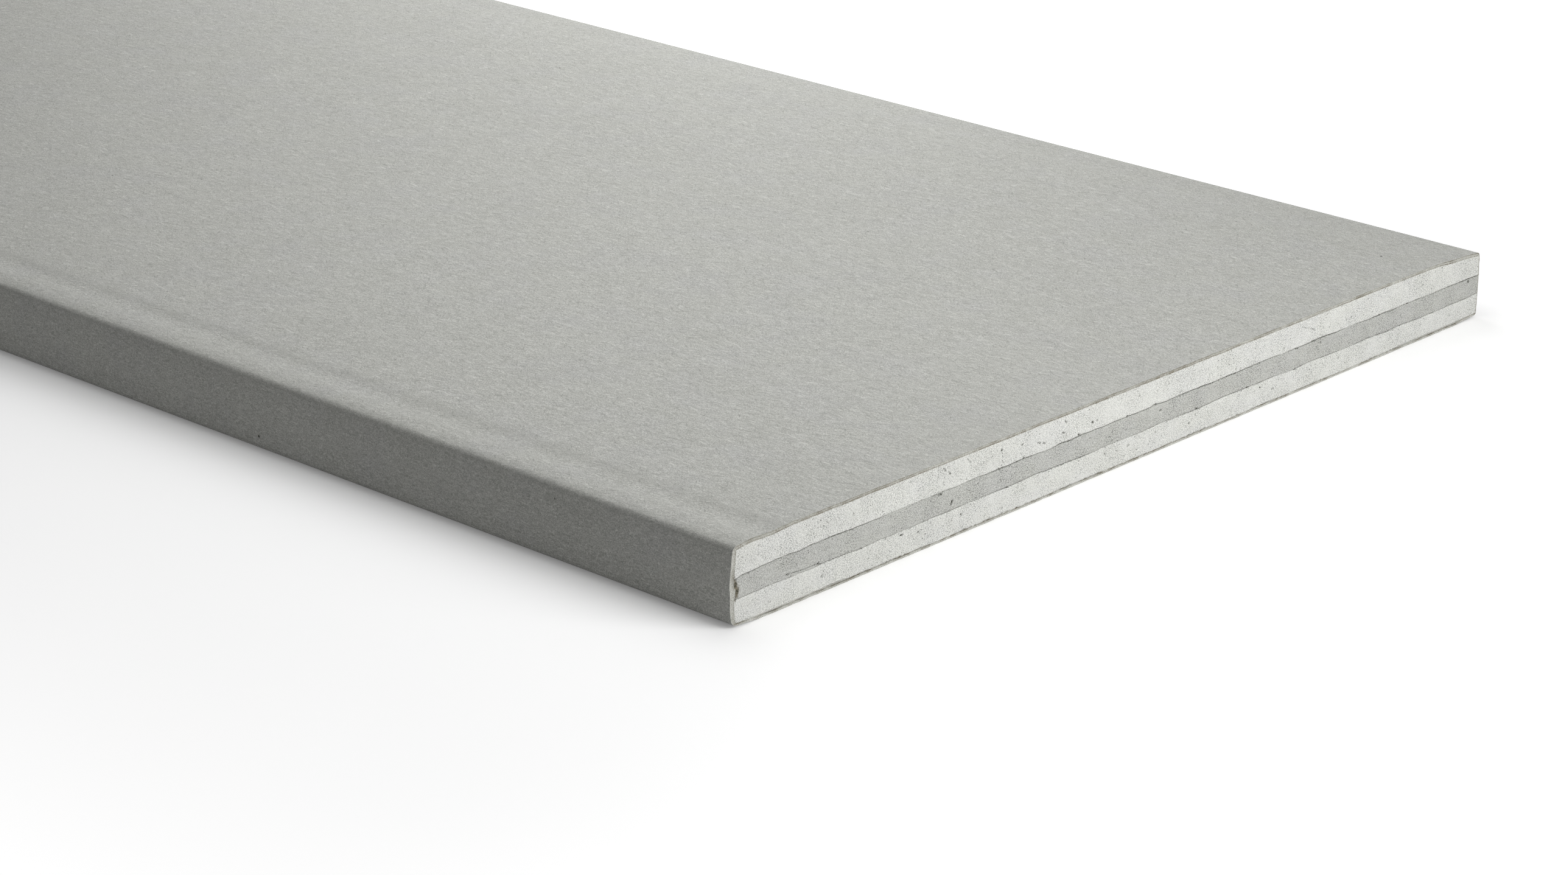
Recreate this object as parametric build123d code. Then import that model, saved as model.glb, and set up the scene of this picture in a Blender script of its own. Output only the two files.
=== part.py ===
from build123d import *
import os

# A drywall sheet lying flat, face up. X runs along the sheet, Y across it and Z up.
# The origin is in the middle of the back, on the plane that the sheet rests on.
# All sizes are in millimetres.

# The sheet as a whole.
SHEET_LENGTH = 1200.0
SHEET_WIDTH = 187.0
SHEET_THICKNESS = 12.5

# The face paper covers the face, turns round both long edges and ends in flaps under the back.
FACE_PAPER = 0.45
EDGE_PAPER = 0.8  # thicker at the long edges, where its plies open as they turn
FLAP_PAPER = 0.4
FLAP_WIDTH = 24.0  # from the long edge to the flap's end

# The back paper is laid over the flaps and stops short of the long edges.
BACK_PAPER = 0.4
BACK_MARGIN = 6.0

# The core is poured in three bands. The lower band takes the height that is left.
UPPER_BAND = 4.25
MIDDLE_BAND = 3.5

# Both long edges: the face falls away gently, the shoulder and the heel are round,
# and the edge between them swells outward.
TAPER_WIDTH = 12.0
TAPER_DEPTH = 0.4
SHOULDER_RADIUS = 1.3
HEEL_RADIUS = 1.5
EDGE_SWELL = 0.4

HALF_WIDTH = SHEET_WIDTH / 2
TAPER_START = HALF_WIDTH - TAPER_WIDTH
CORE_HALF_WIDTH = HALF_WIDTH - EDGE_PAPER
CORE_TOP = SHEET_THICKNESS - FACE_PAPER
UPPER_JOINT = CORE_TOP - UPPER_BAND
LOWER_JOINT = UPPER_JOINT - MIDDLE_BAND
FLAP_TOP = BACK_PAPER + FLAP_PAPER
FLAP_END = HALF_WIDTH - FLAP_WIDTH


def along_sheet(profile):
    """Carries a section along the whole sheet."""
    return extrude(profile, SHEET_LENGTH / 2, both=True)


def slab(half_width, bottom, top):
    """Flat rectangular slab of the sheet's length, centred on its middle."""
    with BuildSketch(Plane.YZ) as sketch:
        with Locations((0, (bottom + top) / 2)):
            Rectangle(2 * half_width, top - bottom)
    return along_sheet(sketch.sketch)


def tapered_block(half_width, bottom, top, edge_drop, shoulder_radius, heel_radius):
    """Full-length block with tapered, swelling and rounded long edges.

    The top is flat as far as the taper. There it turns into an arc that leaves the flat
    smoothly and falls by edge_drop to the shoulder. The edge is an arc that swells
    outward between the shoulder and the heel, and the bottom is flat.
    """
    corner_y = half_width - EDGE_SWELL
    shoulder = (corner_y, top - edge_drop)
    heel = (corner_y, bottom)
    edge_middle = (half_width, (shoulder[1] + heel[1]) / 2)
    with BuildSketch(Plane.YZ) as sketch:
        with BuildLine():
            Line((0, top), (TAPER_START, top))
            TangentArc((TAPER_START, top), shoulder, tangent=(1, 0))
            ThreePointArc(shoulder, edge_middle, heel)
            Line(heel, (0, bottom))
            mirror(about=Plane.YZ)
        make_face()
    block = along_sheet(sketch.sketch)
    for height, radius in ((shoulder[1], shoulder_radius), (heel[1], heel_radius)):
        block = fillet(long_corners(block, corner_y, height), radius)
    return block


def long_corners(block, corner_y, height):
    """The two lengthwise edges of a block that lie at corner_y either side, at one height."""
    corners = [Vector(0, side * corner_y, height) for side in (-1, 1)]
    edges = block.edges().filter_by(Axis.X)
    return [edges.sort_by_distance(corner)[0] for corner in corners]


def whole_core():
    """Everything inside the papers: between the flaps it reaches down to the back paper."""
    wrapped = tapered_block(
        CORE_HALF_WIDTH,
        FLAP_TOP,
        CORE_TOP,
        TAPER_DEPTH + EDGE_PAPER - FACE_PAPER,
        SHOULDER_RADIUS - FACE_PAPER,
        HEEL_RADIUS - FLAP_PAPER,
    )
    return wrapped + slab(FLAP_END, BACK_PAPER, FLAP_TOP)


def core_band(core, bottom, top):
    """One poured band of the core, between two heights."""
    return core & slab(HALF_WIDTH, bottom, top)


def face_paper(core):
    """The face paper: a skin over the face and both edges, with its two flaps."""
    wrap = tapered_block(
        HALF_WIDTH, BACK_PAPER, SHEET_THICKNESS, TAPER_DEPTH, SHOULDER_RADIUS, HEEL_RADIUS
    )
    return wrap - core


def back_paper():
    """The back paper: one flat strip."""
    return slab(HALF_WIDTH - BACK_MARGIN, 0, BACK_PAPER)


def main():
    core = whole_core()
    pieces = {
        "face_paper": face_paper(core),
        "core_upper": core_band(core, UPPER_JOINT, CORE_TOP),
        "core_middle": core_band(core, LOWER_JOINT, UPPER_JOINT),
        "core_lower": core_band(core, BACK_PAPER, LOWER_JOINT),
        "back_paper": back_paper(),
    }
    os.makedirs("parts", exist_ok=True)
    for name, piece in pieces.items():
        export_step(piece, f"parts/{name}.step")


main()
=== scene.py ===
import math
from collections import namedtuple

import bpy
import numpy as np
from mathutils import Matrix, Vector


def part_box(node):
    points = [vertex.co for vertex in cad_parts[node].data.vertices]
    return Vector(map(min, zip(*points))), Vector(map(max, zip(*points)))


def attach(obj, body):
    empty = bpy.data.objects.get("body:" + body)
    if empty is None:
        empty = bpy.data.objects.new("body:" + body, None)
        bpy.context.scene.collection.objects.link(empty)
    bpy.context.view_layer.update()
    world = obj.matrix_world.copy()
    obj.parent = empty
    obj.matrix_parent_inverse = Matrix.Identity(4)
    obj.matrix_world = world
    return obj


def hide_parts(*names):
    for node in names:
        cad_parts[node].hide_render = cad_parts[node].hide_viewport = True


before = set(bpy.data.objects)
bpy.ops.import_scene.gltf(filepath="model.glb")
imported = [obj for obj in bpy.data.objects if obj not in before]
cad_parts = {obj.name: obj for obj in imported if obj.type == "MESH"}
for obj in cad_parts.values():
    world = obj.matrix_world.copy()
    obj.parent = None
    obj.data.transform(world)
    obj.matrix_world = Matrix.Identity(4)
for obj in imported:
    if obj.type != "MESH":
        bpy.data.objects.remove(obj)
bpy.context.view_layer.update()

# A drywall sheet lies face up: X along it, Y across it, Z up. Everything is in metres.
mm = 0.001

# Sizes read from the frame.
paper_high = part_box("face_paper")[1]
back_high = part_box("back_paper")[1]
upper_low, upper_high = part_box("core_upper")
middle_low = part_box("core_middle")[0]

HALF_LENGTH = paper_high.x
HALF_WIDTH = paper_high.y
FACE = paper_high.z
BACK_PAPER = back_high.z
BACK_HALF_WIDTH = back_high.y
UPPER_JOINT = upper_low.z
LOWER_JOINT = middle_low.z

# The face paper's plies stand a little open, so it is drawn thicker than its solid.
OPEN_PLIES = 0.12 * mm
FACE_PAPER = FACE - upper_high.z + OPEN_PLIES

# The wrapped long edges. The shoulder and the heel are radii, the swell is how far the edge
# bulges out and the lean how far its top leans in. The face falls by fall over taper_width, and
# a trough runs along it at trough_inset from the edge. The paper on the side is side_paper
# thick. The near edge is at -Y, and the two differ as the sheet was handled.
Edge = namedtuple("Edge", "shoulder heel swell lean taper_width fall trough trough_inset side_paper")
NEAR_EDGE = Edge(
    shoulder=0.95 * mm,
    heel=1.5 * mm,
    swell=0.28 * mm,
    lean=0.1 * mm,
    taper_width=5.0 * mm,
    fall=0.3 * mm,
    trough=0.15 * mm,
    trough_inset=7.6 * mm,
    side_paper=0.9 * mm,
)
FAR_EDGE = Edge(
    shoulder=0.8 * mm,
    heel=0.5 * mm,
    swell=0.06 * mm,
    lean=0.4 * mm,
    taper_width=18.0 * mm,
    fall=0.85 * mm,
    trough=0.1 * mm,
    trough_inset=8.0 * mm,
    side_paper=0.3 * mm,
)
TROUGH_SPREAD = 2.2 * mm

# Towards an edge the face paper grows to ROLLED_PAPER, between these two distances from it.
EDGE_ZONE = 15 * mm
ROLL_ZONE = 7 * mm
ROLLED_PAPER = 0.68 * mm

# The flap leaves the heel HEEL_LIFT above the floor, sinks to FLAP_LIFT and steps up over the
# back paper's edge, from STEP_RUN outside it and STEP_GAP clear of it. The flap's inside is
# level from LEVEL_INSET in from that edge.
FLAP_WIDTH = 24 * mm
HEEL_LIFT = 0.28 * mm
HEEL_PAPER = 0.45 * mm
FLAP_PAPER = 0.2 * mm
FLAP_LIFT = 0.02 * mm
STEP_RUN = 0.03 * mm
STEP_GAP = 0.005 * mm
LEVEL_INSET = 3 * mm

# How far along the face a frayed end pulls at it.
FRAY_REACH = 2 * mm

# How finely the surfaces are drawn.
FACE_STEP = 0.42 * mm
EDGE_STEP = 0.25 * mm
FLAP_STEP = 0.8 * mm
BACK_STEP = 0.6 * mm
CLIMB_POINTS = 6
STATIONS = 132
STATION_CROWDING = 3.2
PAPER_LAYERS = 7
CORE_STEP = 0.15 * mm
ROW_STEP = 0.135 * mm
ROW_CROWDING = 0.5
PAPER_SHARP = math.radians(38)
CORE_SHARP = math.radians(60)

# The bands of the core: their piece, node and slot, how strong the grooves along their bottom
# and top are, how much their bottom crumbles, their seed and how large their bubbles are.
Band = namedtuple("Band", "piece node slot grooves crumbling seed bubble_size")
UPPER_BAND = Band("upper_gypsum", "core_upper", "white_gypsum", (1.25, 0.25), 0, 200, 1.0)
MIDDLE_BAND = Band("middle_gypsum", "core_middle", "grey_gypsum", (1.1, 1.0), 0, 300, 0.7)
LOWER_BAND = Band("lower_gypsum", "core_lower", "white_gypsum", (0.3, 0.7), 1, 400, 1.0)

# The joints between the bands of the core, as y and z in millimetres.
UPPER_PATH = (
    (-92.6, 7.19), (-91, 7.44), (-88, 7.59), (-84, 7.72), (-81.4, 7.77), (-79.5, 7.59),
    (-77.5, 7.74), (-72, 7.76), (-66, 7.60), (-63, 7.66), (-60, 7.76), (-55, 7.72), (-49, 7.74),
    (-42, 7.71), (-40, 7.76), (-38.3, 7.64), (-35, 7.78), (-33, 7.66), (-30, 7.74), (-24, 7.60),
    (-21, 7.76), (-18.5, 7.66), (-16, 7.77), (-11, 7.66), (-6, 7.74), (0, 7.62), (2.2, 7.79),
    (5, 7.60), (10, 7.74), (17, 7.58), (20, 7.66), (24, 7.64), (31, 7.76), (36, 7.62), (42, 7.60),
    (45, 7.69), (48, 7.74), (51, 7.60), (57, 7.66), (63, 7.54), (68, 7.50), (71, 7.64),
    (76, 7.54), (83, 7.52), (93, 7.44),
)
LOWER_PATH = (
    (-92.6, 4.19), (-90, 4.21), (-84, 4.30), (-80, 4.24), (-76, 4.22), (-73, 4.30), (-69, 4.24),
    (-66.5, 4.14), (-62, 4.34), (-58, 4.24), (-53, 4.34), (-47, 4.27), (-42, 4.35), (-36, 4.30),
    (-33.8, 4.25), (-29, 4.34), (-26, 4.46), (-24.8, 4.34), (-18, 4.24), (-13, 4.24), (-11, 4.38),
    (-7, 4.34), (-1, 4.20), (3, 4.34), (8, 4.30), (14, 4.20), (19, 4.38), (26, 4.36), (31, 4.30),
    (34, 4.38), (39, 4.16), (44, 4.34), (49, 4.24), (52, 4.16), (60, 4.20), (66, 4.06),
    (69, 4.24), (75, 4.06), (84, 4.10), (90, 4.04), (93, 4.20),
)

# The larger marks on the end at +X, each along a short line: its two ends' y and z and its
# half width in millimetres, then its strength and its brownness from 0 to 1. The first five
# are the crevice between the core and the paper of the near edge: their darkness is painted
# shade in the gap, their brownness its colour.
MARKS = (
    (-92.5, 7.05, -92.2, 6.2, 0.32, 0.15, 1),
    (-92.25, 6.5, -91.95, 5.4, 0.38, 0.15, 1),
    (-91.95, 5.5, -91.95, 4.7, 0.28, 0.12, 1),
    (-92.2, 4.8, -92.3, 4.1, 0.2, 0.15, 0.8),
    (-92.45, 7.5, -92.5, 7.9, 0.12, 0.15, 0.6),
    (-81.95, 4.87, -81.45, 4.79, 0.1, 0.3, 0),
    (-81.75, 4.87, -78.95, 4.66, 0.06, 0.12, 0),
    (-78.95, 4.66, -76.05, 4.62, 0.06, 0.12, 0),
    (-76.05, 4.62, -74.55, 4.34, 0.06, 0.12, 0),
    (-75.32, 4.66, -75.2, 4.6, 0.11, 0.75, 0),
    (-66.25, 4.27, -66.05, 4.07, 0.11, 0.3, 0),
    (-57.65, 3.7, -56.85, 3.62, 0.1, 0.3, 0),
    (-53.75, 3.07, -53.35, 2.94, 0.09, 0.3, 0),
    (-49.15, 7.52, -48.55, 7.44, 0.11, 0.4, 0),
    (-48.35, 11.32, -47.95, 10.82, 0.09, 0.25, 0),
    (-47.15, 10.42, -46.75, 10.02, 0.09, 0.25, 0),
    (-46.08, 5.7, -46.32, 5.25, 0.15, 0.9, 0),
    (-44.15, 3.12, -43.75, 3, 0.11, 0.4, 0),
    (-42.95, 11.32, -42.45, 10.82, 0.07, 0.2, 0),
    (-42.35, 10.72, -42.05, 10.42, 0.06, 0.2, 0),
    (-37.35, 10.12, -37.15, 10.02, 0.11, 0.3, 0),
    (-35.15, 10.57, -34.95, 10.47, 0.13, 0.4, 0),
    (-33.95, 4.28, -33.25, 4.26, 0.1, 0.4, 0),
    (-30.35, 10.12, -30.15, 10.02, 0.1, 0.3, 0),
    (-26.45, 9.37, -25.95, 9.22, 0.12, 0.25, 0),
    (-26.35, 4.02, -25.75, 4.37, 0.07, 0.25, 0),
    (-25.35, 9.07, -24.75, 8.87, 0.11, 0.25, 0),
    (-20.65, 9.37, -20.15, 9.27, 0.1, 0.3, 0),
    (-20.15, 11.12, -19.85, 10.82, 0.1, 0.3, 0),
    (-16.75, 8.12, -16.45, 7.97, 0.12, 0.35, 0),
    (-13.45, 9.17, -13.15, 9.07, 0.13, 0.35, 0),
    (-12.35, 9.17, -12.15, 9.07, 0.1, 0.3, 0),
    (2.35, 7.9, 2.75, 7.8, 0.13, 0.35, 0),
    (3.55, 6.62, 3.95, 6.54, 0.1, 0.3, 0),
    (11.45, 2.52, 11.65, 2.37, 0.1, 0.3, 0),
    (12.95, 4.37, 13.45, 4.32, 0.1, 0.4, 0),
    (12.95, 3.57, 13.15, 3.32, 0.09, 0.3, 0),
    (22.85, 7.66, 23.35, 7.62, 0.1, 0.3, 0),
    (26.45, 4.44, 26.95, 4.36, 0.09, 0.3, 0),
    (30.15, 3.57, 30.45, 3.37, 0.1, 0.3, 0),
    (33.55, 2.42, 34.05, 2.32, 0.11, 0.35, 0),
    (39.65, 7.64, 40.15, 7.54, 0.12, 0.35, 0),
    (39.55, 4.17, 40.05, 4.1, 0.1, 0.3, 0),
    (41.05, 10.92, 42.75, 10.27, 0.06, 0.12, 0),
    (42.75, 10.27, 43.65, 10.02, 0.06, 0.12, 0),
    (43.65, 10.02, 44.75, 9.54, 0.07, 0.15, 0),
    (44.05, 7.77, 45.05, 7.7, 0.09, 0.3, 0),
    (46.45, 7.07, 46.75, 6.87, 0.11, 0.25, 0),
    (53.65, 9.17, 53.85, 9.02, 0.1, 0.25, 0),
    (63.25, 7.72, 63.45, 7.47, 0.1, 0.3, 0),
    (71.35, 7.62, 71.65, 7.57, 0.1, 0.3, 0),
    (90.05, 7.1, 90.35, 6.98, 0.19, 0.4, 0),
)


# Random fields


def cell_noise(u, v, cell, seed):
    """Smooth random field from 0 to 1.

    A random number sits at each corner of a mesh of square cells. Inside a cell the four
    are blended by the weight 3t^2 - 2t^3 in each direction, t being the share of the way
    across the cell.
    """
    numbers = np.random.default_rng(seed).random((256, 256))
    column = np.floor(u / cell).astype(int)
    row = np.floor(v / cell).astype(int)
    across = u / cell - column
    along = v / cell - row
    across = across * across * (3 - 2 * across)
    along = along * along * (3 - 2 * along)
    low = numbers[column % 256, row % 256] * (1 - across)
    low = low + numbers[(column + 1) % 256, row % 256] * across
    high = numbers[column % 256, (row + 1) % 256] * (1 - across)
    high = high + numbers[(column + 1) % 256, (row + 1) % 256] * across
    return low * (1 - along) + high * along


def grain(u, v, cell, seed, octaves=3):
    """Random field from 0 to 1: cell_noise at one size, half as much at half the size and so on."""
    total = 0
    weight = 0
    for octave in range(octaves):
        share = 0.5**octave
        total = total + share * cell_noise(u, v, cell * share, seed + octave)
        weight += share
    return total / weight


def bubbles(u, v, cell, widest, seed):
    """Depth of the cut air bubbles at each point.

    Each square cell holds one bubble at a random place. Its radius is widest times the
    cube of a random number, so most are tiny. A point at distance d from a bubble's
    centre lies the square root of radius^2 - d^2 deep, and the deepest bubble counts.
    """
    numbers = np.random.default_rng(seed).random((3, 256, 256))
    column = np.floor(u / cell).astype(int)
    row = np.floor(v / cell).astype(int)
    deepest = np.zeros(np.broadcast(u, v).shape)
    for step_u in (-1, 0, 1):
        for step_v in (-1, 0, 1):
            place_u, place_v, size = numbers[:, (column + step_u) % 256, (row + step_v) % 256]
            away_u = u - (column + step_u + place_u) * cell
            away_v = v - (row + step_v + place_v) * cell
            square = (widest * size**3) ** 2 - away_u**2 - away_v**2
            deepest = np.maximum(deepest, np.sqrt(np.maximum(square, 0)))
    return deepest


# The section that papers and core share


def edge_arcs(edge):
    """Centres and angles of the three arcs that round a long edge.

    The shoulder, the swelling edge and the heel are arcs that meet smoothly. The edge's
    half chord h and its lean at each end, 2 atan(swell / h), depend on each other, so
    they are worked out by going round a few times.
    """
    lean = 0.0
    slope = 0.0
    corner = HALF_WIDTH - edge.swell
    for _ in range(12):
        upper = FACE - edge.fall - edge.shoulder * (math.cos(slope) - math.sin(lean))
        lower = HEEL_LIFT + edge.heel * (1 - math.sin(lean))
        half_chord = (upper - lower) / 2
        lean = 2 * math.atan(edge.swell / half_chord)
        shoulder_y = corner - edge.shoulder * math.cos(lean)
        fall_width = shoulder_y + edge.shoulder * math.sin(slope) - HALF_WIDTH + edge.taper_width
        slope = math.atan(2 * edge.fall / fall_width)
    swell_radius = half_chord / math.sin(lean)
    shoulder = (shoulder_y, upper - edge.shoulder * math.sin(lean))
    swell = (HALF_WIDTH - swell_radius, (upper + lower) / 2)
    heel = (corner - edge.heel * math.cos(lean), lower + edge.heel * math.sin(lean))
    return shoulder, swell, heel, swell_radius, lean, slope


def arc(centre, radius, start, end, step):
    """Points of an arc: centre + radius (cos a, sin a), as the angle a goes from start to end."""
    count = max(3, round(radius * abs(end - start) / step) + 1)
    angle = np.linspace(start, end, count)
    return centre[0] + radius * np.cos(angle), centre[1] + radius * np.sin(angle)


def eased(value, start, end):
    """0 before the start, 1 after the end and 3t^2 - 2t^3 between, t being the share of the way."""
    share = np.clip((value - start) / (end - start), 0, 1)
    return share * share * (3 - 2 * share)


def bell(away, width, power=2):
    """Bell curve exp(-(away / width)^power): 1 at its middle, fading to 0 on both sides."""
    return np.exp(-((away / width) ** power))


def face_run(edge, taper_end):
    """Outside of the face from the middle to the shoulder, as places across and heights.

    On the taper the height is face - fall t^2, t being the share of the way across it. The
    trough takes off its depth times a bell curve.
    """
    taper_start = HALF_WIDTH - edge.taper_width
    across = np.linspace(0, taper_end, round(taper_end / FACE_STEP))
    share = np.clip((across - taper_start) / (taper_end - taper_start), 0, 1)
    trough = edge.trough * bell(across - HALF_WIDTH + edge.trough_inset, TROUGH_SPREAD)
    return across, FACE - edge.fall * share**2 - trough


def flap_run(heel_y):
    """Outside of the flap from the heel to its end, as places across and heights.

    The flap sinks from the heel to just above the floor by 3t^2 - 2t^3, t being the share
    of the way, and steps up over the back paper's edge in the same way.
    """
    step_start = BACK_HALF_WIDTH + STEP_RUN
    flap_end = HALF_WIDTH - FLAP_WIDTH
    slide = np.linspace(heel_y, step_start, round((heel_y - step_start) / FLAP_STEP) + 1)
    climb = np.linspace(step_start, BACK_HALF_WIDTH + STEP_GAP, CLIMB_POINTS)
    rest_points = round((BACK_HALF_WIDTH - flap_end) / FLAP_STEP) + 1
    rest = np.linspace(BACK_HALF_WIDTH, flap_end, rest_points)
    flap = np.concatenate([slide, climb[1:], rest])
    down = HEEL_LIFT + (FLAP_LIFT - HEEL_LIFT) * eased(-flap, -heel_y, -step_start)
    up = (BACK_PAPER + STEP_GAP - FLAP_LIFT) * eased(-flap, -step_start, -BACK_HALF_WIDTH)
    return flap, down + up


def wrapped_thickness(edge, y, facing):
    """Thickness of the wrapped paper at y across, where its outside faces up by facing.

    Under the face it grows towards the edge by 3t^2 - 2t^3. From there it passes to the
    side's thickness in step with facing, and on to the heel's with the square of -facing.
    """
    near_edge = eased(y, HALF_WIDTH - EDGE_ZONE, HALF_WIDTH - ROLL_ZONE)
    face_paper = FACE_PAPER + (ROLLED_PAPER - FACE_PAPER) * near_edge
    thick = edge.side_paper + (face_paper - edge.side_paper) * np.clip(facing, 0, 1)
    return thick + (HEEL_PAPER - edge.side_paper) * np.clip(-facing, 0, 1) ** 2


def half_section(edge):
    """Outline and inside of half the wrapped paper, from the face's middle to the flap's end.

    The outline is the face, the edge's three arcs and the flap. The inside lies under it by
    the paper's thickness, and the flap's inside rises by 3t^2 - 2t^3 from the heel. At last
    every point leans in by lean (y / half width) (z / face)^2.
    """
    shoulder, swell, heel, swell_radius, lean, slope = edge_arcs(edge)
    flap_y, flap_z = flap_run(heel[0])
    runs = [
        face_run(edge, shoulder[0] + edge.shoulder * math.sin(slope)),
        arc(shoulder, edge.shoulder, math.pi / 2 - slope, lean, EDGE_STEP),
        arc(swell, swell_radius, lean, -lean, EDGE_STEP),
        arc(heel, edge.heel, -lean, -math.pi / 2, EDGE_STEP),
        (flap_y, flap_z),
    ]
    y = np.concatenate([runs[0][0]] + [run[0][1:] for run in runs[1:]])
    z = np.concatenate([runs[0][1]] + [run[1][1:] for run in runs[1:]])
    tangent_y = np.gradient(y)
    tangent_z = np.gradient(z)
    size = np.hypot(tangent_y, tangent_z)
    normal_y = -tangent_z / size
    normal_z = tangent_y / size
    thick = wrapped_thickness(edge, y, np.clip(normal_z, -1, 1))
    inside_y = y - normal_y * thick
    inside_z = z - normal_z * thick
    on_flap = len(y) - len(flap_y) + 1
    rise = eased(-y[on_flap:], -heel[0], -BACK_HALF_WIDTH + LEVEL_INSET)
    heel_inside = HEEL_LIFT + HEEL_PAPER
    flap_inside = BACK_PAPER + FLAP_PAPER
    inside_y[on_flap:] = y[on_flap:]
    inside_z[on_flap:] = heel_inside + (flap_inside - heel_inside) * rise
    leaning = 1 - edge.lean / HALF_WIDTH * (z / FACE) ** 2
    inside_leaning = 1 - edge.lean / HALF_WIDTH * (inside_z / FACE) ** 2
    outline = np.stack([y * leaning, z], axis=1)
    inside = np.stack([inside_y * inside_leaning, inside_z], axis=1)
    return outline, inside


def whole_section():
    """The whole wrapped paper, from the far flap's end over the face to the near flap's end.

    Returns the outline's points, the unit normals that point out of the sheet, and the
    points of the paper's inside.
    """
    far, far_inside = half_section(FAR_EDGE)
    near, near_inside = half_section(NEAR_EDGE)
    turned = np.array([-1.0, 1.0])
    outer = np.concatenate([far[::-1], near[1:] * turned])
    inner = np.concatenate([far_inside[::-1], near_inside[1:] * turned])
    tangent = np.gradient(outer, axis=0)
    tangent = tangent / np.hypot(tangent[:, :1], tangent[:, 1:])
    normal = np.stack([tangent[:, 1], -tangent[:, 0]], axis=1)
    return outer, normal, inner


# Meshes from grids of vertices


def grid_faces(index):
    """Quads between neighbouring entries of a grid of vertex numbers."""
    corners = [index[:-1, :-1], index[1:, :-1], index[1:, 1:], index[:-1, 1:]]
    return np.stack(corners, axis=-1).reshape(-1, 4)


def mesh_piece(name, points, quads, polygons=(), values=(), sharp=PAPER_SHARP):
    """Makes an object from points, quads and a few many-sided faces, and turns its faces outward.

    The solid's volume is the sum over its triangles of a . (b x c) / 6. Where that comes
    out negative, every face runs the other way round.
    """
    first, second, third, fourth = (points[quads[:, corner]] for corner in range(4))
    halves = np.einsum("ij,ij->i", first, np.cross(second, third))
    halves = halves + np.einsum("ij,ij->i", first, np.cross(third, fourth))
    faces = [list(face) for face in quads.tolist()] + [list(face) for face in polygons]
    if halves.sum() < 0:
        faces = [face[::-1] for face in faces]
    mesh = bpy.data.meshes.new(name)
    mesh.from_pydata(points.tolist(), [], faces)
    mesh.validate()
    mesh.polygons.foreach_set("use_smooth", np.ones(len(mesh.polygons), bool))
    mesh.set_sharp_from_angle(angle=sharp)
    for value_name, value in values:
        layer = mesh.attributes.new(value_name, "FLOAT", "POINT")
        layer.data.foreach_set("value", value.astype(np.float32))
    mesh.update()
    piece = bpy.data.objects.new(name, mesh)
    bpy.context.scene.collection.objects.link(piece)
    return piece


def stations():
    """Places along the sheet, crowding at its ends.

    They are half_length tanh(a t) / tanh(a), for t from -1 to 1.
    """
    share = np.linspace(-1, 1, STATIONS + 1)
    return HALF_LENGTH * np.tanh(STATION_CROWDING * share) / math.tanh(STATION_CROWDING)


# The papers


def frayed(along_cut, layer, seed):
    """How far a paper's cut edge lies behind the cut plane.

    A fine grain everywhere, deeper nicks where a coarser one is high, and the plies in the
    middle of the paper drawn back by sin(pi layer) of a small amount.
    """
    nick_start = 0.62
    fine = 0.07 * mm * grain(along_cut, layer * mm, 0.5 * mm, seed)
    coarse = cell_noise(along_cut, layer * 0, 1.8 * mm, seed + 9)
    nicks = 0.28 * mm * np.clip(coarse - nick_start, 0, 1)
    drawn_back = 0.12 * mm * cell_noise(along_cut, layer * 0, 1.1 * mm, seed + 5)
    return fine + nicks + drawn_back * np.sin(math.pi * layer)


def ply_lines(across, height, facing, along_cut, layer, seed):
    """Darkness of a paper's cut edge, from 0 to 1, its layers going from 0 outside to 1 inside.

    Three parts are blended by the way the paper faces. Under the face two thin dark plies
    wander along a light middle. They are fainter by the near edge, and stronger by the far
    one, which has a dark outer rim too. On the sides the cut is pale, with a thin line of
    glue near the inside. At the back it is pale too, with dark crumbs where it meets the
    core, and with a dark outer rim where the far edge turns under. Each line is a bell
    curve across the layers, and coarse grains along the cut change the plies and the glue.
    """
    line_width = 0.13
    glue_width = 0.12
    crumb_width = 0.12 * mm
    ragged = grain(along_cut, layer * 0.6 * mm, 1.1 * mm, seed) - 0.5
    tear = grain(along_cut, layer * 0, 7 * mm, seed + 3)
    other_tear = grain(along_cut, layer * 0, 5 * mm, seed + 13)
    wander = 0.5 * (grain(along_cut, layer * 0, 3 * mm, seed + 6) - 0.5)

    to_far = eased(across, 76 * mm, 84 * mm)
    first = (0.15 + 0.9 * tear) * bell(layer - 0.16 - wander, line_width)
    second = (0.1 + 0.9 * other_tear) * bell(layer - 0.84 - 0.5 * wander, line_width)
    strength = 0.85 - 0.35 * eased(-across, 84 * mm, 88 * mm) + 0.3 * to_far
    face = 0.26 - 0.12 * eased(-across, 82 * mm, 86 * mm) - 0.17 * eased(across, 45 * mm, 75 * mm)
    face = face + (0.9 - 0.3 * to_far) * ragged
    face = face + (0.9 - 0.6 * to_far) * np.clip(tear - 0.5, 0, 1)
    face = face + strength * (first + second)
    face = face + 0.45 * to_far * bell(layer - 0.08, 0.14)

    glue = bell(layer - 0.82 - 0.5 * wander, glue_width)
    side = np.where(across < 0, 0.14, 0.08) + 0.7 * ragged
    side = side + np.where((across < 0) & (height > 6 * mm), 0.04 + 0.35 * tear, 0.12) * glue

    crumb_height = 0.35 * mm + 0.3 * mm * np.clip((np.abs(across) - 86 * mm) / (5 * mm), 0, 1)
    crumbs = bell(height - crumb_height, crumb_width, 4)
    turning = eased(across, 88 * mm, 90 * mm)
    back = 0.15 - 0.1 * turning + 1.1 * ragged
    back = back + crumbs * np.clip(0.1 + 0.42 * tear + 1.9 * ragged + 0.2 * turning, 0, 1)
    back = back + 0.75 * turning * bell(layer, 0.2)

    up = np.clip(1.4 * facing, 0, 1)
    down = np.clip(-1.4 * facing, 0, 1)
    return np.clip(face * up + back * down + side * (1 - up - down), 0, 1)


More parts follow.
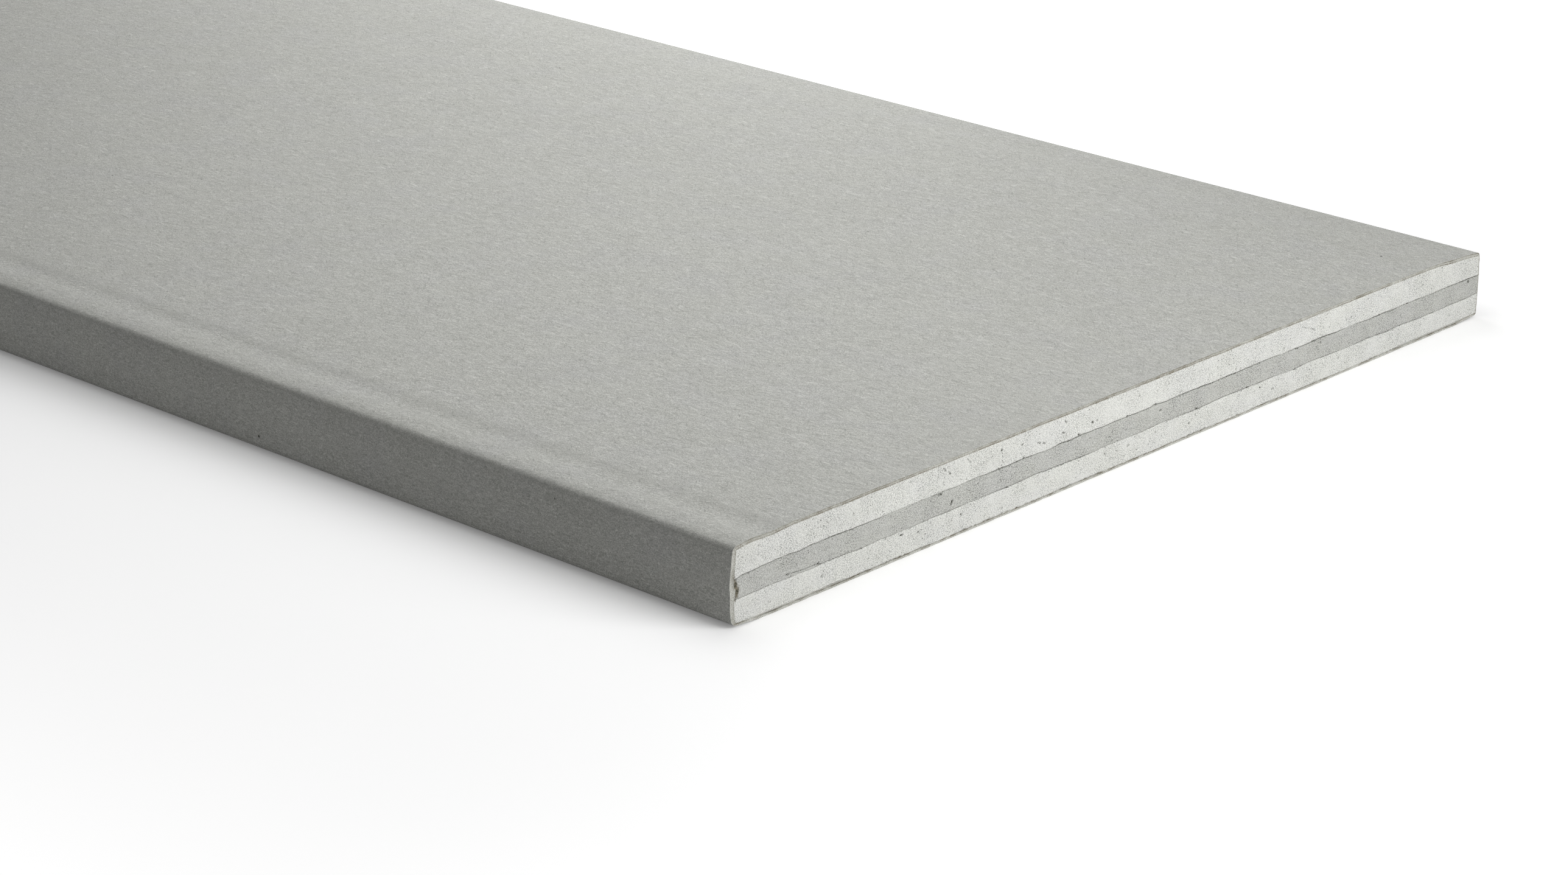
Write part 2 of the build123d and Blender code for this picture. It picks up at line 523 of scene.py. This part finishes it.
def painted_face_shading(outer, normal):
    """Painted shade and highlight across the face paper, from -1 for shade to 1 for highlight.

    A sum of bell curves, each with its distance from an edge, its spread and its strength:
    painted shade in the near trough and at the near shoulder, a painted highlight on the ridge
    between them, and a faint painted highlight and painted shade beside the far edge. It counts
    only where the paper faces up.
    """
    from_near = outer[:, 0] + HALF_WIDTH
    from_far = HALF_WIDTH - outer[:, 0]
    bells = (
        (from_near, 9.9 * mm, 1.5 * mm, -0.34),
        (from_near, 5 * mm, 1.8 * mm, 0.16),
        (from_near, 0, 1.9 * mm, -0.8),
        (from_far, 10.3 * mm, 2 * mm, 0.1),
        (from_far, 6 * mm, 2 * mm, -0.1),
    )
    painted_shading = 0
    for distance, place, spread, strength in bells:
        painted_shading = painted_shading + strength * bell(distance - place, spread)
    return painted_shading * np.clip(normal[:, 1] * 3, 0, 1)


def wrapped_paper(name, outer, normal, inner, sag, painted_shading, seed):
    """A closed paper skin: a section carried along the sheet, with frayed edges at both ends.

    Its outside is the section's outline at each station, drawn in along its normal by
    sag(x, place along the outline). Its inside runs straight from end to end. At each
    end the layers between outside and inside step evenly through the paper's thickness.
    The painted shading, given for each point of the outline, is stored on the outside.
    """
    x = stations()
    walk = np.concatenate([[0], np.cumsum(np.hypot(*np.diff(outer, axis=0).T))])
    count = len(outer)
    reach, place = np.meshgrid(x, walk)
    drawn_in = sag(reach, place)
    other_seed = seed + 40
    fray_low = frayed(walk, np.zeros(count), seed)
    fray_high = frayed(walk, np.zeros(count), other_seed)
    rim = np.clip((HALF_LENGTH - np.abs(reach)) / FRAY_REACH, 0, 1)
    shift = np.where(reach < 0, fray_low[:, None], -fray_high[:, None]) * (1 - rim)
    skin = np.empty((count, len(x), 3))
    skin[..., 0] = reach + shift
    skin[..., 1] = outer[:, 0, None] - normal[:, 0, None] * drawn_in
    skin[..., 2] = outer[:, 1, None] - normal[:, 1, None] * drawn_in
    index = np.arange(count * len(x)).reshape(count, len(x))
    points = [skin.reshape(-1, 3)]
    cut = [np.zeros(index.size)]
    plies = [np.zeros(index.size)]
    # The face's painted shade and highlight, stored on the skin's vertices.
    painted_shading_values = [np.repeat(0.5 + 0.5 * painted_shading, len(x))]
    total = index.size
    quads = [grid_faces(index)]
    ends = []
    for column, side, end_seed in ((0, -1, seed), (len(x) - 1, 1, other_seed)):
        layer = np.linspace(0, 1, PAPER_LAYERS + 1)[None, 1:]
        start = skin[:, column, 1:]
        section = start[:, None, :] + (inner - start)[:, None, :] * layer[..., None]
        along_cut = walk[:, None] + 0 * layer
        layers = layer + 0 * along_cut
        depth = frayed(along_cut, layers, end_seed)
        across, height = section[..., 0], section[..., 1]
        facing = normal[:, 1, None] + 0 * layer
        darkness = ply_lines(across, height, facing, along_cut, layers, end_seed + 60)
        flat = np.concatenate([side * (HALF_LENGTH - depth)[..., None], section], axis=2)
        number = total + np.arange(count * PAPER_LAYERS).reshape(count, PAPER_LAYERS)
        rim_index = np.concatenate([index[:, column : column + 1], number], axis=1)
        points.append(flat.reshape(-1, 3))
        cut.append(np.ones(number.size))
        plies.append(darkness.ravel())
        painted_shading_values.append(np.full(number.size, 0.5))
        total += number.size
        quads.append(grid_faces(rim_index if side < 0 else rim_index[:, ::-1])[:, ::-1])
        ends.append(rim_index)
    low, high = ends
    inside = np.stack([low[:, -1], high[:, -1]], axis=1)
    quads.append(grid_faces(inside)[:, ::-1])
    polygons = []
    for row, turned in ((0, False), (count - 1, True)):
        loop = list(index[row]) + list(high[row, 1:]) + list(low[row, 1:][::-1])
        polygons.append([int(number) for number in (loop[::-1] if turned else loop)])
    values = [
        ("cut", np.concatenate(cut)),
        ("ply", np.concatenate(plies)),
        ("painted_shading", np.concatenate(painted_shading_values)),
    ]
    return mesh_piece(name, np.concatenate(points), np.concatenate(quads), polygons, values)


def face_sag(reach, place):
    """Gentle unevenness of the face paper: two grains, 90 mm and 22 mm wide, under 0.1 mm deep."""
    broad = grain(reach, place, 90 * mm, 3, 2)
    tight = grain(reach, place, 22 * mm, 8, 2)
    return 0.06 * mm * broad + 0.035 * mm * tight


def no_sag(reach, place):
    """The back paper lies flat on what the sheet rests on."""
    return 0 * reach


def back_section():
    """The back paper's section: its outside is the back's plane, its inside a thickness above."""
    y = np.linspace(-BACK_HALF_WIDTH, BACK_HALF_WIDTH, round(2 * BACK_HALF_WIDTH / BACK_STEP))
    outer = np.stack([y, np.zeros_like(y)], axis=1)
    inner = np.stack([y, np.full_like(y, BACK_PAPER)], axis=1)
    normal = np.stack([np.zeros_like(y), -np.ones_like(y)], axis=1)
    return outer, normal, inner


# The core


def core_limits(inner, normal):
    """The core's top, sides and bottom as curves, read off the inside of the face paper.

    Returns two functions, the top's and the bottom's height at a place across, and the
    near and the far side, each as rising heights and the places across at them. A point
    is top or bottom where its normal is upright enough, and otherwise side near an edge.
    """
    upright = 0.3
    side_reach = 3 * mm
    clear = 0.01 * mm
    y, z = inner.T
    top = normal[:, 1] > upright
    bottom = normal[:, 1] < -upright
    side = ~top & ~bottom & (np.abs(y) > HALF_WIDTH - side_reach)
    near = side & (y < 0)
    far = side & (y > 0)
    flap_end = HALF_WIDTH - FLAP_WIDTH - clear
    far_floor = bottom & (y > 0)
    near_floor = bottom & (y < 0)
    floor_y = np.concatenate([y[near_floor], [-flap_end, flap_end], y[far_floor]])
    floor_z = np.concatenate([z[near_floor], [BACK_PAPER, BACK_PAPER], z[far_floor]])
    floor_order = np.argsort(floor_y)
    top_order = np.argsort(y[top])

    def top_height(place):
        """Height of the top at a place, by straight lines between its points."""
        return np.interp(place, y[top][top_order], z[top][top_order])

    def bottom_height(place):
        """Height of the bottom at a place, by straight lines between its points."""
        return np.interp(place, floor_y[floor_order], floor_z[floor_order])

    near_side = (z[near][::-1], y[near][::-1])
    far_side = (z[far], y[far])
    return top_height, bottom_height, near_side, far_side


def joint_height(path, seed):
    """Height of a joint across the sheet: straight lines along its path plus a fine waviness."""
    path_y, path_z = np.array(path).T * mm

    def height(y):
        """Height of the joint at y."""
        wave = grain(y, 0 * y, 2.4 * mm, seed, 3) - 0.5
        return np.interp(y, path_y, path_z) + 0.14 * mm * wave

    return height


def cut_relief(y, z, to_low, to_high, band, seed):
    """Depth, darkness and brownness of the sawn gypsum at each point of a cut end.

    The depth adds a fine grain, upright saw strokes, small and large air bubbles and a
    narrow groove along each joint. The groove is a bell curve of the distance, broken up
    along the joint by a coarse grain. Darkness in the bubbles is painted shade, and along
    the groove it is the joint's dark line. Along a crumbling bottom, ragged dark and
    brownish crumbs lie where a fine and a coarse grain are both high.
    """
    groove_width = 0.08 * mm
    crumb_height = 0.22 * mm
    crumb_width = 0.33 * mm
    full_painted_shade_depth = 0.16 * mm
    rough = 0.04 * mm * grain(y, z, 0.4 * mm, seed)
    strokes = 0.02 * mm * grain(y, z / 8, 0.4 * mm, seed + 20, 2)
    small = bubbles(y, z, 0.9 * mm, 0.17 * mm * band.bubble_size, seed + 30)
    large = bubbles(y, z, 3.4 * mm, 0.28 * mm * band.bubble_size, seed + 31)
    hollow = np.maximum(small, large)
    broken = np.clip(2.6 * grain(y, 0 * y, 6 * mm, seed + 50, 4) - 0.7, 0.2, 1.1)
    groove = 0
    for away, strength in (to_low, to_high):
        groove = groove + strength * broken * bell(away, groove_width)
    patch = np.clip(0.35 + 2.5 * (grain(y, 0 * y, 8 * mm, seed + 55) - 0.5), 0, 1)
    crumbs = np.clip(4 * (grain(y, z, 0.5 * mm, seed + 56) - 0.4), 0, 1)
    crumbs = band.crumbling * crumbs * patch * bell(z - crumb_height, crumb_width, 4)
    depth = 0.02 * mm + rough + strokes + hollow + 0.2 * mm * groove + 0.1 * mm * crumbs
    # Darkness: painted shade in the bubbles, the joints' dark lines and dark crumbs.
    dark = np.clip(hollow / full_painted_shade_depth, 0, 1) * 0.45 + 0.9 * groove + 0.45 * crumbs
    return depth, dark, 0.4 * crumbs


def add_marks(y, z, depth, dark, brown):
    """Adds each larger mark as a pit of the form exp(-r^4).

    r is the distance from the mark's line in half widths, made ragged by a fine grain. A
    stronger mark is deeper and darker, and a browner one is less dark.
    """
    deepest = 0.4 * mm
    ragged = 1.1 * (grain(y, z, 0.28 * mm, 77, 2) - 0.5)
    for mark in MARKS:
        start_y, start_z, end_y, end_z, half_wide = (size * mm for size in mark[:5])
        strength, brownness = mark[5:]
        run_y, run_z = end_y - start_y, end_z - start_z
        share = ((y - start_y) * run_y + (z - start_z) * run_z) / (run_y**2 + run_z**2)
        share = np.clip(share, 0, 1)
        r = np.hypot(y - start_y - share * run_y, z - start_z - share * run_z) / half_wide + ragged
        pit = bell(np.clip(r, 0, 4), 1, 4)
        depth = depth + deepest * strength * pit
        # For the crevice by the near edge, this darkness is painted shade in the gap.
        dark = dark + (0.5 + 1.9 * strength) * (1 - 0.5 * brownness) * pit
        brown = brown + 0.8 * brownness * pit
    return depth, dark, brown


def side_place(side, low, high, v):
    """Place across of the core's side, at the share v of the way up from one height to another."""
    heights, places = side
    start = heights[0] if low is None else low
    end = heights[-1] if high is None else high
    return np.interp(start + v * (end - start), heights, places)


def core_band(band, floor_at, ceiling_at, sides, low, high):
    """A band of the core, closed all round, with a sawn relief on both ends.

    A point of the end is y = near + u (far - near), z = floor + v (ceiling - floor), for u
    and v from 0 to 1, near and far being the core's sides at the share v of their height.
    The rows crowd at the joints by v = t - c sin(2 pi t) / (2 pi). The end is drawn back
    by the relief's depth, and straight faces join the two ends' rims.
    """
    tall = (high or FACE) - (low or 0)
    row = np.linspace(0, 1, round(tall / ROW_STEP) + 1)[None, :]
    v = row - ROW_CROWDING * np.sin(2 * math.pi * row) / (2 * math.pi)
    u = np.linspace(0, 1, round(2 * HALF_WIDTH / CORE_STEP) + 1)[:, None]
    near, far = (side_place(side, low, high, v) for side in sides)
    y = near + u * (far - near)
    floor = floor_at(y)
    ceiling = ceiling_at(y)
    z = floor + v * (ceiling - floor)
    quads = []
    points = []
    darkness = []
    brownness = []
    rims = []
    for number, side in enumerate((-1, 1)):
        to_low = (z - floor, band.grooves[0])
        to_high = (ceiling - z, band.grooves[1])
        depth, dark, brown = cut_relief(y, z, to_low, to_high, band, band.seed + 100 * number)
        if side > 0:
            depth, dark, brown = add_marks(y, z, depth, dark, brown)
        index = y.size * number + np.arange(y.size).reshape(y.shape)
        points.append(np.stack([side * (HALF_LENGTH - depth), y, z], axis=-1).reshape(-1, 3))
        darkness.append(dark.ravel())
        brownness.append(brown.ravel())
        quads.append(grid_faces(index if side < 0 else index[::-1]))
        rim = [index[:, 0], index[-1, 1:], index[-2::-1, -1], index[0, -2::-1]]
        rims.append(np.concatenate(rim))
    quads.append(grid_faces(np.stack(rims, axis=0)))
    return mesh_piece(
        band.piece,
        np.concatenate(points),
        np.concatenate(quads),
        values=[("dark", np.concatenate(darkness)), ("brown", np.concatenate(brownness))],
        sharp=CORE_SHARP,
    )


# Materials


def screen_colour(*levels):
    """A colour as the shader wants it, from screen levels of 0 to 255.

    Each is ((s + 0.055) / 1.055)^2.4, s being its level over 255.
    """
    return tuple(((level / 255 + 0.055) / 1.055) ** 2.4 for level in levels) + (1.0,)


def grey(level, cast=5.0):
    """A grey at a screen level. The cast warms it: it takes blue away and adds a touch of green."""
    return screen_colour(level, level + 0.1 * cast, level - cast)


def dull_brown(level):
    """A dull brown whose red is at a screen level."""
    return screen_colour(level, level - 8, level - 26)


def add_node(tree, kind, inputs, **settings):
    """Adds a node. Each given input is linked to another node's output or set to a fixed value."""
    made = tree.nodes.new("ShaderNode" + kind)
    for key, value in settings.items():
        setattr(made, key, value)
    for key, value in inputs.items():
        if isinstance(value, bpy.types.NodeSocket):
            tree.links.new(value, made.inputs[key])
        else:
            made.inputs[key].default_value = value
    return made


class Finish:
    """A material under construction, with short calls for the nodes it is made of."""

    def __init__(self, name, roughness):
        self.material = bpy.data.materials.new(name)
        self.material.use_nodes = True
        self.tree = self.material.node_tree
        self.shader = self.tree.nodes["Principled BSDF"]
        self.shader.inputs["Roughness"].default_value = roughness
        self.shader.inputs["Specular IOR Level"].default_value = 0.35
        self.place = add_node(self.tree, "TexCoord", {}).outputs["Object"]

    def stretched(self, turn, scale):
        """The object's own coordinates, turned about Z by a number of degrees and stretched."""
        inputs = {"Vector": self.place, "Rotation": (0, 0, math.radians(turn)), "Scale": scale}
        return add_node(self.tree, "Mapping", inputs, vector_type="TEXTURE").outputs["Vector"]

    def noise(self, size, detail=2.0, roughness=0.5, distortion=0.0, place=None):
        """Fractal noise from about 0 to 1, its largest features about size across."""
        inputs = {
            "Vector": place or self.place,
            "Scale": 1 / size,
            "Detail": detail,
            "Roughness": roughness,
            "Distortion": distortion,
        }
        return add_node(self.tree, "TexNoise", inputs).outputs["Fac"]

    def spots(self, size, smallest, largest):
        """Round spots, one to a cell of a given size, fading out from one radius to another."""
        inputs = {"Vector": self.place, "Scale": 1 / size}
        cells = add_node(self.tree, "TexVoronoi", inputs, feature="F1")
        return self.remap(cells.outputs["Distance"], smallest / size, largest / size, 1.0, 0.0)

    def remap(self, value, low, high, to_low=0.0, to_high=1.0):
        """Straight-line remap of a value, held inside its new limits."""
        inputs = {"Value": value, "From Min": low, "From Max": high, "To Min": to_low, "To Max": to_high}
        return add_node(self.tree, "MapRange", inputs).outputs["Result"]

    def maths(self, operation, first, second):
        """One sum on two values, each a socket or a plain number."""
        inputs = {0: first, 1: second}
        return add_node(self.tree, "Math", inputs, operation=operation).outputs["Value"]

    def mix(self, share, first, second):
        """Mixes two colours, each a socket or a fixed colour, by a share from 0 to 1."""
        inputs = {0: share, 1: first, 2: second}
        return add_node(self.tree, "MixRGB", inputs).outputs["Color"]

    def tinted(self, base, colour, value, low, high, to_low=0.0, to_high=1.0):
        """Lays a colour over the base, by a remap of a value."""
        return self.mix(self.remap(value, low, high, to_low, to_high), base, colour)

    def own_value(self, name):
        """A value stored on the piece's own vertices."""
        return add_node(self.tree, "Attribute", {}, attribute_name=name).outputs["Fac"]

    def bump(self, height, depth, after=None):
        """Relief from a height of 0 to 1, so many metres deep, on top of an earlier relief."""
        inputs = {"Strength": 0.8, "Distance": depth, "Height": height}
        if after is not None:
            inputs["Normal"] = after
        return add_node(self.tree, "Bump", inputs).outputs["Normal"]

    def done(self, colour, normal):
        """Joins the colour and the relief to the shader."""
        self.tree.links.new(colour, self.shader.inputs["Base Color"])
        self.tree.links.new(normal, self.shader.inputs["Normal"])
        return self.material


def paper_finish(name, level, cast):
    """Recycled grey paper board, with painted shade and highlight along its edges and a patchy cut.

    Clouds and dust of noise are laid over a grey, then pale and dark fibres from noises
    stretched along three directions. The stored painted shading, with a random waviness from
    the clouds added, lays painted shade and painted highlight on the face, sparse dark specks
    lie over it, and the stored plies colour the cut.
    """
    finish = Finish(name, 0.82)
    mottle = finish.noise(14 * mm, 3.0)
    blush = finish.noise(9 * mm, 2.0)
    cloud = finish.noise(2.6 * mm, 3.0, 0.6, 0.0, finish.stretched(10, (2.0, 1.0, 1.0)))
    dust = finish.noise(0.18 * mm, 2.0, 0.75)
    along = finish.noise(0.3 * mm, 3.0, 0.7, 0.6, finish.stretched(-8, (6.0, 1.0, 1.0)))
    aslant = finish.noise(0.3 * mm, 3.0, 0.7, 0.6, finish.stretched(24, (5.0, 1.0, 1.0)))
    across = finish.noise(0.3 * mm, 3.0, 0.7, 0.6, finish.stretched(-42, (4.0, 1.0, 1.0)))
    base = finish.tinted(grey(level - 3, cast), grey(level + 3, cast), mottle, 0.3, 0.7)
    base = finish.tinted(base, grey(level - 1, cast - 3), blush, 0.45, 0.7, 0.0, 0.8)
    base = finish.tinted(base, grey(level - 6, cast), cloud, 0.3, 0.7, 0.0, 0.4)
    base = finish.tinted(base, grey(level + 38, cast), dust, 0.5, 0.68, 0.0, 0.75)
    base = finish.tinted(base, grey(level - 44, cast), dust, 0.32, 0.5, 0.75, 0.0)
    pale = finish.maths("MAXIMUM", along, aslant)
    base = finish.tinted(base, grey(level + 36, cast), pale, 0.56, 0.72, 0.0, 0.8)
    dark = finish.maths("MINIMUM", aslant, across)
    base = finish.tinted(base, grey(level - 42, cast), dark, 0.44, 0.28, 0.0, 0.8)
    base = finish.tinted(base, grey(level - 36, cast), along, 0.42, 0.28, 0.0, 0.8)
    # Painted shade and painted highlight from the stored values; the clouds add a random waviness.
    wavy = finish.maths("MULTIPLY", finish.maths("SUBTRACT", cloud, 0.5), 0.25)
    painted_shading = finish.maths("ADD", finish.own_value("painted_shading"), wavy)
    base = finish.tinted(base, grey(level - 55, cast), painted_shading, 0.48, 0.0, 0.0, 0.5)
    base = finish.tinted(base, grey(level + 28, cast), painted_shading, 0.52, 1.0, 0.0, 0.5)
    base = finish.mix(finish.spots(14 * mm, 0.15 * mm, 0.27 * mm), base, grey(90, cast))
    grit = finish.noise(0.16 * mm, 3.0, 0.7)
    plies = finish.mix(finish.own_value("ply"), grey(204, 6), dull_brown(104))
    plies = finish.tinted(plies, dull_brown(130), grit, 0.32, 0.5, 0.8, 0.0)
    plies = finish.tinted(plies, grey(228, 7), grit, 0.5, 0.68, 0.0, 0.6)
    colour = finish.mix(finish.own_value("cut"), base, plies)
    normal = finish.bump(cloud, 0.035 * mm)
    normal = finish.bump(pale, 0.02 * mm, normal)
    normal = finish.bump(dark, 0.02 * mm, normal)
    return finish.done(colour, normal)


def gypsum_finish(name, level, contrast, streak):
    """Set gypsum, sawn.

    Faint clouds and streaks of noise are laid over a pale grey, then a salt-and-pepper
    grain whose hollows are stronger in patches, pin-holes and sparse spots. The stored
    brown and dark values colour the marks, the joints' lines and the painted shade in the
    bubbles and the crevice, the dark ones made crumbly by a fine noise.
    """
    finish = Finish(name, 0.9)
    cloud = finish.noise(6 * mm, 3.0, 0.6)
    blush = finish.noise(4.4 * mm, 2.0, 0.5, 0.0, finish.stretched(90, (1.6, 1.0, 1.0)))
    dust = finish.noise(0.17 * mm, 3.0, 0.8)
    pepper = finish.noise(0.24 * mm, 2.0, 0.6)
    streaks = finish.noise(0.6 * mm, 3.0, 0.6, 0.3, finish.stretched(0, (1.0, 6.0, 1.0)))
    base = finish.tinted(grey(level - 5), grey(level + 4), cloud, 0.3, 0.7)
    base = finish.tinted(base, grey(level - 2, 1.0), blush, 0.4, 0.65, 0.0, 0.5)
    base = finish.tinted(base, grey(level - 40), streaks, 0.5, 0.75, 0.0, streak)
    patches = finish.noise(3.4 * mm, 3.0, 0.6)
    grainy = finish.remap(patches, 0.4, 0.58, 0.55 * contrast, 1.25 * contrast)
    hollows = finish.maths("MULTIPLY", finish.remap(dust, 0.33, 0.49, 1.0, 0.0), grainy)
    base = finish.mix(hollows, base, grey(level - 100))
    base = finish.tinted(base, grey(level + 36), dust, 0.49, 0.64, 0.0, 0.85 * contrast)
    patchy = finish.maths("ADD", pepper, finish.remap(cloud, 0.35, 0.65, -0.05, 0.07))
    base = finish.tinted(base, grey(level - 125), patchy, 0.29, 0.35, 0.95, 0.0)
    spots = finish.spots(1.7 * mm, 0.06 * mm, 0.13 * mm)
    base = finish.mix(finish.maths("MULTIPLY", spots, 0.8), base, grey(96))
    crumbly = finish.remap(finish.noise(0.22 * mm, 3.0, 0.7), 0.4, 0.56, 1.7, 0.35)
    base = finish.mix(finish.own_value("brown"), base, dull_brown(142))
    # Stored darkness: the marks, the joints' dark lines and painted shade in the bubbles and the
    # crevice.
    darkness = finish.maths("MULTIPLY", finish.own_value("dark"), crumbly)
    base = finish.mix(darkness, base, grey(66, 9))
    normal = finish.bump(dust, 0.02 * mm)
    return finish.done(base, normal)


# The stage


def soft_box(name, centre, aim, turn, long, wide, radiance):
    """A rectangular lamp at a place, facing a point and turned by degrees about its own axis.

    A white surface that saw nothing but such a lamp would show the radiance as its level.
    """
    lamp = bpy.data.lights.new(name, "AREA")
    lamp.shape = "RECTANGLE"
    lamp.size = long
    lamp.size_y = wide
    lamp.energy = radiance * math.pi * long * wide
    holder = bpy.data.objects.new(name, lamp)
    facing = (Vector(centre) - Vector(aim)).to_track_quat("Z", "Y").to_matrix().to_4x4()
    turned = Matrix.Rotation(math.radians(turn), 4, "Z")
    holder.matrix_world = Matrix.Translation(centre) @ facing @ turned
    holder.visible_camera = False
    bpy.context.scene.collection.objects.link(holder)


def seen_or_not(tree):
    """1 for what the camera, a reflection or a clear material sees, and 0 for light on things."""
    path = add_node(tree, "LightPath", {})
    total = path.outputs["Is Camera Ray"]
    for name in ("Is Glossy Ray", "Is Transmission Ray"):
        inputs = {0: total, 1: path.outputs[name]}
        total = add_node(tree, "Math", inputs, operation="MAXIMUM").outputs["Value"]
    return total


def surroundings(level):
    """White to the camera, and a dim even light on everything."""
    world = bpy.data.worlds.new("studio")
    bpy.context.scene.world = world
    world.use_nodes = True
    tree = world.node_tree
    back = tree.nodes["Background"]
    back.inputs["Color"].default_value = (1, 1, 1, 1)
    inputs = {"Value": seen_or_not(tree), "To Min": level, "To Max": 1.0}
    remap = add_node(tree, "MapRange", inputs)
    tree.links.new(remap.outputs["Result"], back.inputs["Strength"])


def studio_floor():
    """A wide pale floor just under the sheet. It looks white and throws back little light.

    The floor's own glow grows with the distance from the sheet's outline,
    length(max(|place| - half size, 0)), so that it stays white past the lamps' reach
    while the shadow beside the sheet is kept.
    """
    reach = 40.0
    thrown_back = 0.57
    seen_level = 1.15
    glow_beside_sheet = 0.16
    full_glow_at = 0.3
    mesh = bpy.data.meshes.new("studio_floor")
    corners = [(-reach, -reach, 0), (reach, -reach, 0), (reach, reach, 0), (-reach, reach, 0)]
    mesh.from_pydata(corners, [], [(0, 1, 2, 3)])
    floor = bpy.data.objects.new("studio_floor", mesh)
    bpy.context.scene.collection.objects.link(floor)
    material = bpy.data.materials.new("studio_floor")
    material.use_nodes = True
    tree = material.node_tree
    tree.nodes.remove(tree.nodes["Principled BSDF"])
    seen = seen_or_not(tree)
    inputs = {"Fac": seen, "Color1": (thrown_back,) * 3 + (1,), "Color2": (seen_level,) * 3 + (1,)}
    colour = add_node(tree, "MixRGB", inputs)
    matt = add_node(tree, "BsdfDiffuse", {"Color": colour.outputs["Color"]})
    place = add_node(tree, "TexCoord", {}).outputs["Object"]
    steps = (
        ("ABSOLUTE", {}),
        ("SUBTRACT", {1: (HALF_LENGTH, HALF_WIDTH, 0)}),
        ("MAXIMUM", {1: (0, 0, 0)}),
    )
    for operation, other in steps:
        step = add_node(tree, "VectorMath", {0: place, **other}, operation=operation)
        place = step.outputs["Vector"]
    distance = add_node(tree, "VectorMath", {0: place}, operation="LENGTH").outputs["Value"]
    inputs = {
        "Value": distance,
        "From Max": full_glow_at,
        "To Min": glow_beside_sheet,
        "To Max": 1.0,
    }
    rise = add_node(tree, "MapRange", inputs, interpolation_type="SMOOTHSTEP").outputs["Result"]
    lift = add_node(tree, "Math", {0: seen, 1: rise}, operation="MULTIPLY").outputs["Value"]
    glow = add_node(tree, "Emission", {"Strength": lift})
    inputs = {0: matt.outputs["BSDF"], 1: glow.outputs["Emission"]}
    both = add_node(tree, "AddShader", inputs)
    tree.links.new(both.outputs["Shader"], tree.nodes["Material Output"].inputs["Surface"])
    mesh.materials.append(material)


def photo_camera():
    """The camera, placed from the near corner of the cut end.

    Its back direction is (sin a cos e, -cos a cos e, sin e) for the azimuth a and the
    elevation e, and the picture is turned by a slight roll about it.
    """
    azimuth = math.radians(41.17)
    elevation = math.radians(20.59)
    roll = math.radians(1.32)
    focal_pixels = 6471
    picture_width = 2576
    corner = Vector((HALF_LENGTH, -HALF_WIDTH, 0))
    from_corner = Vector((0.32739, -0.36399, 0.21214))
    outward = math.cos(elevation)
    back = Vector((math.sin(azimuth) * outward, -math.cos(azimuth) * outward, math.sin(elevation)))
    right = Vector((math.cos(azimuth), math.sin(azimuth), 0))
    up = back.cross(right)
    turned_right = math.cos(roll) * right + math.sin(roll) * up
    turned_up = back.cross(turned_right)
    lens = bpy.data.cameras.new("camera")
    lens.sensor_width = 36
    lens.lens = lens.sensor_width * focal_pixels / picture_width
    lens.clip_start = 0.01
    holder = bpy.data.objects.new("camera", lens)
    axes = Matrix((turned_right, turned_up, back)).transposed()
    holder.matrix_world = Matrix.Translation(corner + from_corner) @ axes.to_4x4()
    bpy.context.scene.collection.objects.link(holder)
    bpy.context.scene.camera = holder


def dress(piece, node, material):
    """Gives a piece its material and its place on the sheet, and hides the CAD node it stands for."""
    piece.data.materials.append(material)
    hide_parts(node)
    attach(piece, "root")


def build_sheet():
    """Makes the two papers and, inside them, the three bands of the core."""
    outer, normal, inner = whole_section()
    face_finish = paper_finish("face_paper_board", 190, 5)
    back_finish = paper_finish("back_paper_board", 180, 7)
    white = gypsum_finish("white_gypsum", 225, 0.95, 0.12)
    grey_core = gypsum_finish("grey_gypsum", 194, 1.05, 0.4)
    # The face paper carries painted shade and highlight along its edges, the back paper none.
    face = wrapped_paper("facing", outer, normal, inner, face_sag, painted_face_shading(outer, normal), 11)
    dress(face, "face_paper", face_finish)
    back_outer, back_normal, back_inner = back_section()
    no_painted_shading = np.zeros(len(back_outer))
    back = wrapped_paper("backing", back_outer, back_normal, back_inner, no_sag, no_painted_shading, 28)
    dress(back, "back_paper", back_finish)

    top, bottom, near_side, far_side = core_limits(inner, normal)
    sides = (near_side, far_side)
    upper_joint = joint_height(UPPER_PATH, 61)
    lower_joint = joint_height(LOWER_PATH, 67)
    bands = (
        (UPPER_BAND, upper_joint, top, UPPER_JOINT, None, white),
        (MIDDLE_BAND, lower_joint, upper_joint, LOWER_JOINT, UPPER_JOINT, grey_core),
        (LOWER_BAND, bottom, lower_joint, None, LOWER_JOINT, white),
    )
    for band, floor_at, ceiling_at, low, high, material in bands:
        piece = core_band(band, floor_at, ceiling_at, sides, low, high)
        dress(piece, band.node, material)


# The lamps: name, place, the point it faces, turn in degrees, length, width and radiance.
LAMPS = (
    ("end_box", (0.85, 0.01, 0.15), (0.5, 0.01, 0), 0, 0.22, 0.2, 4.75),
    ("over_box", (0.42, 0.1, 0.2), (0.42, 0.1, 0), 131.3, 0.5, 0.12, 1.63),
    ("back_box", (0.3, 0.14, 0.08), (0.3, 0, 0), 0, 0.4, 0.1, 0.65),
    ("left_box", (-0.35, 0, 0.4), (-0.35, 0, 0), 0, 0.5, 0.3, 2.05),
    ("other_end_box", (-0.85, 0, 0.12), (-0.6, 0, 0), 0, 0.22, 0.16, 3.4),
)
EVEN_LIGHT = 0.23

build_sheet()
surroundings(EVEN_LIGHT)
studio_floor()
for lamp in LAMPS:
    soft_box(*lamp)
photo_camera()
bpy.context.scene.view_settings.view_transform = "Standard"
